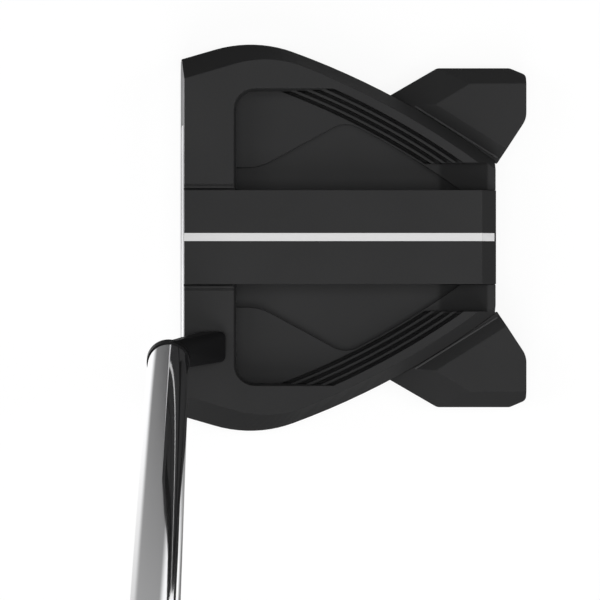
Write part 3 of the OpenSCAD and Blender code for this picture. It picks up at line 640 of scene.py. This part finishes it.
class PUTTER_OT_shaft(bpy.types.Operator):
    """Turn the tapered shaft and plate it with chrome"""

    bl_idname = "putter.shaft"
    bl_label = "Shaft"

    def execute(self, context):
        style = look(context, "putter_shaft")
        points = [v.co - GRIP_MIDDLE for v in NODES["shaft"].data.vertices]
        along = [p.dot(SHAFT_AXIS) for p in points]
        out = [(p - SHAFT_AXIS * a).length for p, a in zip(points, along)]
        tip, butt = min(along), max(along)
        tip_r = max(r for a, r in zip(along, out) if a < tip + MM)
        butt_r = max(out)
        slack = 0.005 * MM
        taper = min(a for a, r in zip(along, out) if r > butt_r - slack)
        wall, edge = style.wall, style.edge
        profile = (
            (tip_r - wall, tip), (tip_r - edge, tip), (tip_r, tip + edge), (butt_r, taper), (butt_r, butt),
            (butt_r - wall, butt), (butt_r - wall, taper))
        bm = bmesh.new()
        verts = [bm.verts.new((r, 0.0, a)) for r, a in profile]
        edges = [bm.edges.new((a, b)) for a, b in zip(verts, verts[1:] + verts[:1])]
        longest = 100 * MM
        bmesh.ops.subdivide_edges(bm, edges=[e for e in edges if e.calc_length() > longest], cuts=24)
        geom = list(bm.verts) + list(bm.edges)
        bmesh.ops.spin(
            bm, geom=geom, cent=(0, 0, 0), axis=(0, 0, 1), angle=math.tau, steps=style.segments, use_merge=True)
        bmesh.ops.remove_doubles(bm, verts=bm.verts, dist=JOIN)
        bmesh.ops.recalc_face_normals(bm, faces=bm.faces)
        bmesh.ops.transform(bm, matrix=SHAFT_SPACE, verts=bm.verts)
        for e in bm.edges:
            e.smooth = e.calc_face_angle(0.0) < math.radians(30)
        chrome = plain_grain(
            "Chrome", style.chrome, roughness=0.05, size=0.8 * MM, tone=0.02, rough=0.02, height=0.002 * MM,
            Metallic=1.0)
        keep_piece("shaft_tube", bm, chrome, "club", "shaft")
        return {"FINISHED"}


class PUTTER_OT_grip(bpy.types.Operator):
    """Mould the grip's sleeve and butt cap, and finish the pieces inside"""

    bl_idname = "putter.grip"
    bl_label = "Grip"

    def execute(self, context):
        style = look(context, "putter_grip")
        rubber = plain_grain(
            "Grip rubber", style.rubber, roughness=0.62, size=0.7 * MM, tone=0.2, rough=0.1, height=0.08 * MM)
        self.sleeve(style, rubber)
        self.cap(style, rubber)
        dress("grip_mouth", rubber)
        break_edges("grip_mouth", style.mouth_edge)
        dress("grip_tape", plain_grain("Paper tape", style.paper, roughness=0.85))
        dress("grip_core", plain_grain("Foam core", style.foam, roughness=0.9, size=1.2 * MM, tone=0.3))
        return {"FINISHED"}

    def sleeve(self, style, rubber):
        """The sleeve's outer wall with its ribbed front and back seam, closed by an inner wall."""
        half = GRIP_LENGTH / 2
        reach = outer_reach("grip_skin")
        outside = [(-half + GRIP_LENGTH * i / style.rows, 0.0) for i in range(style.rows + 1)]
        inside = [(half - GRIP_LENGTH * i / INNER_ROWS, style.wall) for i in range(INNER_ROWS + 1)]
        stations = outside + inside + outside[:1]

        def place(angle, row):
            z, depth = stations[row]
            r = reach(angle, max(min(z, half - GRIP_INSET), GRIP_INSET - half)) - depth
            if depth == 0.0:
                r -= self.rib(style, angle, r, z, half) + self.seam(style, angle, r)
            return r, z

        bm = wrapped(style.columns, len(stations) - 1, place)
        keep_piece("grip_sleeve", bm, rubber, "club", "grip_skin")

    def rib(self, style, angle, r, z, half):
        """Depth of the shallow grooves across the flat front."""
        across = smooth_step(*RIB_ACROSS, abs(r * math.sin(angle))) if math.cos(angle) < 0 else 0.0
        along = smooth_step(*RIB_ENDS, half - abs(z))
        return style.rib_depth * across * along * (0.5 - 0.5 * math.cos(math.tau * z / style.rib)) ** 2

    def seam(self, style, angle, r):
        """Depth of the fine seam down the back."""
        away = abs(math.remainder(angle, math.tau)) * r
        return style.rib_depth * smooth_step(*SEAM_ACROSS, away)

    def cap(self, style, rubber):
        """The butt cap: a soft-edged disc in the sleeve's section, with the vent hole through it."""
        half = GRIP_LENGTH / 2
        reach = outer_reach("grip_skin")
        bore = MOUNTS["grip_vent"]["dims"]["r_mm"] * MM
        thick = MOUNTS["grip_vent"]["dims"]["length_mm"] * MM
        edge = style.cap_edge
        turns = [math.radians(90) * i / CAP_ROWS for i in range(CAP_ROWS + 1)]
        rim = [(edge * (1 - math.cos(a)), half + thick - edge + edge * math.sin(a)) for a in turns]
        lip = 0.4 * MM
        stations = [("bore", 0.0, half), ("rim", 0.0, half)] + [("rim", inward, z) for inward, z in rim]
        stations += [("bore", lip, half + thick), ("bore", 0.0, half + thick - lip), ("bore", 0.0, half)]

        def place(angle, row):
            kind, offset, z = stations[row]
            return (bore + offset if kind == "bore" else reach(angle, half - GRIP_INSET) - offset), z

        bm = wrapped(style.columns, len(stations) - 1, place)
        for e in bm.edges:
            e.smooth = e.calc_face_angle(0.0) < math.radians(40)
        keep_piece("grip_butt", bm, rubber, "club", "grip_cap")


class PUTTER_OT_stage(bpy.types.Operator):
    """Set the floor, the lamps and the camera"""

    bl_idname = "putter.stage"
    bl_label = "Stage"

    def execute(self, context):
        style = look(context, "putter_stage")
        scene = context.scene
        scene.view_settings.view_transform = "Standard"
        self.floor(style)
        self.world(scene, style)
        for name, place, power in LAMPS:
            self.lamp(name, place, power * style.level)
        self.camera(scene, style)
        return {"FINISHED"}

    def floor(self, style):
        """A floor that is white to the camera, shows a painted reflection in polished metal, and is open to view and
        lamp from below.
        """
        bm = bmesh.new()
        bmesh.ops.create_grid(bm, x_segments=1, y_segments=1, size=FLOOR_HALF)
        mesh = bpy.data.meshes.new("floor")
        bm.to_mesh(mesh)
        bm.free()
        mesh.transform(Matrix.Translation((0, 0, -FLOOR_DROP)))
        floor = bpy.data.objects.new("floor", mesh)
        bpy.context.scene.collection.objects.link(floor)
        material = bpy.data.materials.new("Pale floor")
        material.use_nodes = True
        tree = material.node_tree
        tree.nodes.clear()
        matte = node_in(tree, "ShaderNodeBsdfDiffuse")
        tree.links.new(self.seen(tree, style.floor, style.shadow, style.floor), matte.inputs["Color"])
        glow = node_in(tree, "ShaderNodeEmission")
        # For reflections alone the glow is the painted reflection
        tree.links.new(self.seen(tree, 0.0, style.glow, self.mirrored(tree)), glow.inputs["Strength"])
        pick = node_in(tree, "ShaderNodeAddShader")
        tree.links.new(matte.outputs[0], pick.inputs[0])
        tree.links.new(glow.outputs[0], pick.inputs[1])
        under = node_in(tree, "ShaderNodeNewGeometry")
        path = node_in(tree, "ShaderNodeLightPath")
        is_open = joined(tree, "MAXIMUM", under.outputs["Backfacing"], path.outputs["Is Shadow Ray"])
        clear = node_in(tree, "ShaderNodeBsdfTransparent")
        sides = node_in(tree, "ShaderNodeMixShader")
        for end, source in zip(sides.inputs, (is_open, pick.outputs[0], clear.outputs[0])):
            tree.links.new(source, end)
        end = node_in(tree, "ShaderNodeOutputMaterial")
        tree.links.new(sides.outputs[0], end.inputs["Surface"])
        mesh.materials.append(material)

    def seen(self, tree, lit, camera, mirrored):
        """A strength for rays that light, one for the camera and one for reflections and glass; returns the socket."""
        path = node_in(tree, "ShaderNodeLightPath")
        strength = lit
        for kind, value in (("Is Transmission Ray", mirrored), ("Is Glossy Ray", mirrored), ("Is Camera Ray", camera)):
            mix = node_in(tree, "ShaderNodeMix", data_type="FLOAT")
            tree.links.new(path.outputs[kind], mix.inputs["Factor"])
            for end, source in (("A", strength), ("B", value)):
                feed(tree, mix.inputs[end], source)
            strength = mix.outputs["Result"]
        return strength

    def mirrored(self, tree):
        """The floor's painted reflection in polished metal: painted shadow by the face, painted light behind and ahead
        of the heel, painted shade beside it.
        """
        place = object_place(tree)
        coords = node_in(tree, "ShaderNodeTexCoord")
        apart = node_in(tree, "ShaderNodeVectorMath", operation="DISTANCE")
        tree.links.new(coords.outputs["Object"], apart.inputs[0])
        apart.inputs[1].default_value = PAINTED_SHADOW_POINT
        away = apart.outputs["Value"]
        turn = joined(tree, "ARCTAN2", place["X"], joined(tree, "SUBTRACT", SECTOR_Y, place["Y"]))
        sector = joined(tree, "MULTIPLY", *(ramp(tree, turn, *side) for side in SECTOR_SIDES))
        sector = joined(tree, "MULTIPLY", sector, ramp(tree, away, *SECTOR_REACH, SECTOR_FAR))
        level = node_in(tree, "ShaderNodeMix", data_type="FLOAT", in_B=1.0)
        feed(tree, level.inputs["Factor"], joined(tree, "MAXIMUM", sector, ramp(tree, place["Y"], *BRIGHT_Y)))
        feed(tree, level.inputs["A"], ramp(tree, away, 0.0, PAINTED_SHADOW_REACH, 0.0, PAINTED_SHADOW_LEVEL, kind="LINEAR"))
        beside = joined(tree, "MULTIPLY", ramp(tree, place["X"], *BESIDE_X), ramp(tree, place["Y"], *BESIDE_Y))
        return joined(tree, "MULTIPLY", level.outputs["Result"], ramp(tree, beside, 0.0, 1.0, 1.0, BESIDE_PAINTED_SHADE))

    def world(self, scene, style):
        """Even room light, white behind the object."""
        scene.world = scene.world or bpy.data.worlds.new("Room")
        scene.world.use_nodes = True
        tree = scene.world.node_tree
        tree.nodes.clear()
        light = node_in(tree, "ShaderNodeBackground", in_Color=(1.0, 1.0, 1.0, 1.0))
        tree.links.new(self.seen(tree, style.sky, 1.0, 1.0), light.inputs["Strength"])
        end = node_in(tree, "ShaderNodeOutputWorld")
        tree.links.new(light.outputs[0], end.inputs["Surface"])

    def lamp(self, name, place, power):
        """A square soft lamp that looks at the head."""
        data = bpy.data.lights.new(name, "AREA")
        data.shape = "SQUARE"
        data.size = LAMP_SIZE
        data.energy = power
        lamp = bpy.data.objects.new(name, data)
        lamp.location = place
        lamp.rotation_euler = (-Vector(place)).to_track_quat("-Z", "Y").to_euler()
        lamp.visible_camera = False
        bpy.context.scene.collection.objects.link(lamp)

    def camera(self, scene, style):
        """The photograph's view: straight down, rear to the right and toe at the top."""
        data = bpy.data.cameras.new("Camera")
        data.sensor_width = 36.0
        data.lens = style.lens
        data.clip_end = 100.0
        camera = bpy.data.objects.new("Camera", data)
        camera.location = style.eye
        camera.rotation_euler = (0.0, 0.0, math.radians(90.0))
        scene.collection.objects.link(camera)
        scene.camera = camera


class PUTTER_PT_panel(bpy.types.Panel):
    """Lists the putter's looks and operators"""

    bl_idname = "PUTTER_PT_panel"
    bl_label = "Mallet putter"
    bl_space_type = "VIEW_3D"
    bl_region_type = "UI"
    bl_category = "Putter"

    def draw(self, context):
        for operator in OPERATORS:
            self.layout.operator(operator.bl_idname)
        for name, group in GROUPS.items():
            box = self.layout.box()
            for prop in group.__annotations__:
                box.prop(look(context, name), prop)


GROUPS = {
    "putter_head": HeadLook,
    "putter_shaft": ShaftLook,
    "putter_grip": GripLook,
    "putter_stage": StageLook,
}
OPERATORS = (
    PUTTER_OT_head, PUTTER_OT_face, PUTTER_OT_fasteners, PUTTER_OT_neck, PUTTER_OT_shaft, PUTTER_OT_grip,
    PUTTER_OT_stage)


def register():
    for cls in (*GROUPS.values(), *OPERATORS, PUTTER_PT_panel):
        bpy.utils.register_class(cls)
    for name, group in GROUPS.items():
        setattr(bpy.types.Scene, name, PointerProperty(type=group))


def unregister():
    for name in GROUPS:
        delattr(bpy.types.Scene, name)
    for cls in reversed((*GROUPS.values(), *OPERATORS, PUTTER_PT_panel)):
        bpy.utils.unregister_class(cls)


def main():
    register()
    for operator in OPERATORS:
        group, name = operator.bl_idname.split(".")
        getattr(getattr(bpy.ops, group), name)()


if __name__ == "__main__":
    main()
